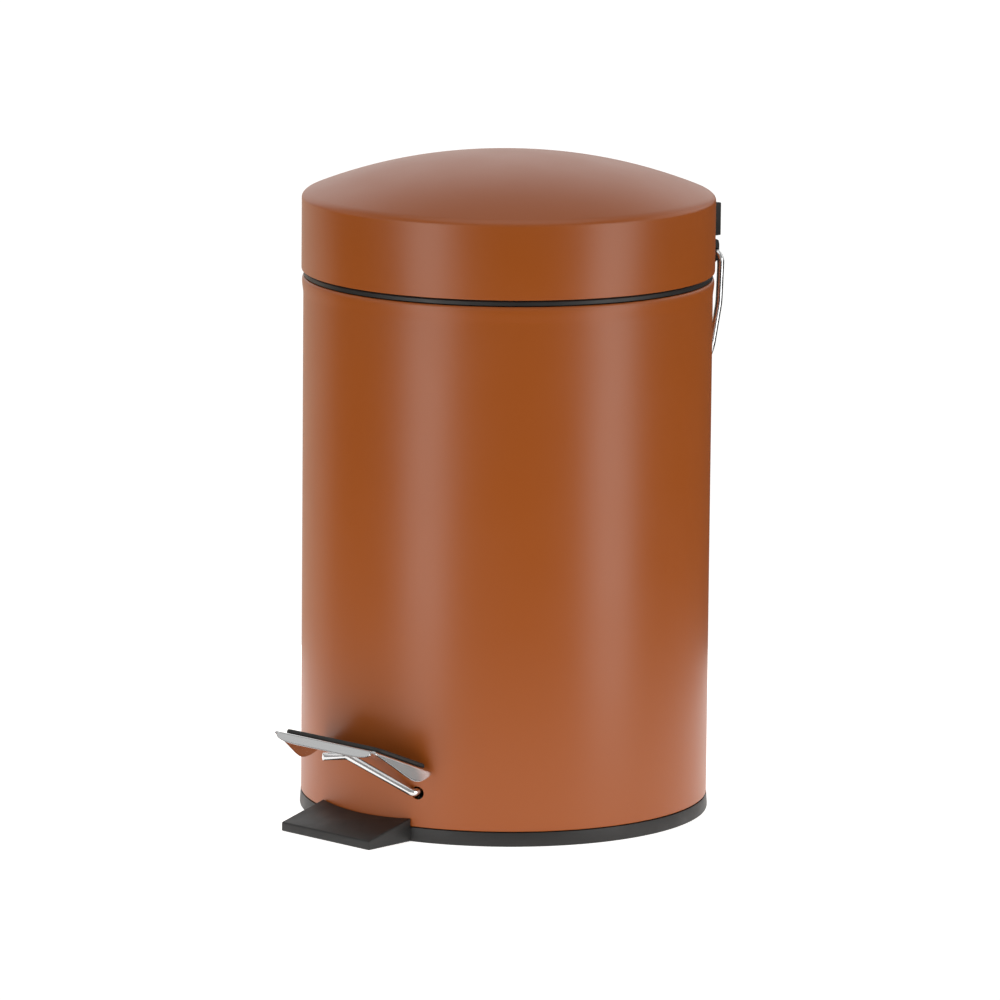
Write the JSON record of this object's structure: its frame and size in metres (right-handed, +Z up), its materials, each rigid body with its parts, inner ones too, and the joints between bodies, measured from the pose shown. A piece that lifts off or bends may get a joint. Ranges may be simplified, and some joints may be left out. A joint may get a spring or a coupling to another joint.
{
  "type": "pedal trash can",
  "caption": "Small round pedal bin: a foot pedal lifts a hinged domed lid over a removable inner bucket, with a wire carry handle behind.",
  "frame": {"origin": "centre of the round base on the floor plane", "axes": "+Z up along the body's axis, -Y towards the pedal at the front, +Y towards the hinge and carry handle at the back, +X to the right when looking along +Y"},
  "size_m": [0.17, 0.2108, 0.272],
  "materials": {
    "copper_paint": "satin copper-brown powder coat",
    "black_plastic": "moulded matt black plastic",
    "black_rubber": "matt black rubber",
    "chrome_steel": "bright chrome plate",
    "zinc_steel": "zinc-plated steel"
  },
  "bodies": {
    "bin": {"body_shell": "copper_paint", "base_pan": "black_plastic", "inner_bucket": "black_plastic", "body_hinge_bracket": "black_plastic", "hinge_pin": "zinc_steel", "rod_guide_lower": "black_plastic", "rod_guide_upper": "black_plastic", "pedal_axle": "zinc_steel", "axle_clip_left": "zinc_steel", "axle_clip_right": "zinc_steel", "pivot_bracket": "zinc_steel", "pivot_bracket_screw_left": "zinc_steel", "pivot_bracket_screw_right": "zinc_steel", "body_bracket_screw_left": "zinc_steel", "body_bracket_screw_right": "zinc_steel"},
    "lid": {"lid_shell": "copper_paint", "lid_hinge_bracket": "black_plastic", "lid_bracket_screw_left": "zinc_steel", "lid_bracket_screw_right": "zinc_steel"},
    "pedal": {"pedal_lever": "chrome_steel", "pedal_tread": "chrome_steel", "pedal_pad": "black_rubber", "pivot_sleeve": "zinc_steel"},
    "rod": {"push_rod": "zinc_steel", "rod_clip": "zinc_steel", "rod_foot": "black_plastic"},
    "handle": {"carry_handle": "chrome_steel"},
    "bail": {"bucket_bail": "chrome_steel"}
  },
  "joints": [
    {"name": "lid_hinge", "type": "hinge", "parent": "bin", "child": "lid", "pos_m": [0, 0.097, 0.2273], "axis": [-1, 0, 0], "range_deg": [0, 75]},
    {"name": "pedal_hinge", "type": "hinge", "parent": "bin", "child": "pedal", "pos_m": [0.0275, -0.07, 0.0159], "axis": [1, 0, 0], "range_deg": [0, 10.11]},
    {"name": "rod_slide", "type": "slide", "parent": "bin", "child": "rod", "axis": [0, 0, 1], "range_m": [0, 0.0264]},
    {"name": "carry_handle_swing", "type": "hinge", "parent": "bin", "child": "handle", "pos_m": [0, 0.0973, 0.2244], "axis": [1, 0, 0], "range_deg": [0, 90]},
    {"name": "bucket_bail_swing", "type": "hinge", "parent": "bin", "child": "bail", "pos_m": [0, 0, 0.2254], "axis": [-1, 0, 0], "range_deg": [0, 25]}
  ],
  "couplings": [
    {"joint": "pedal_hinge", "follows": "lid_hinge", "ratio": 0.1346},
    {"joint": "rod_slide", "follows": "lid_hinge", "m_per_rad": 0.020155}
  ]
}
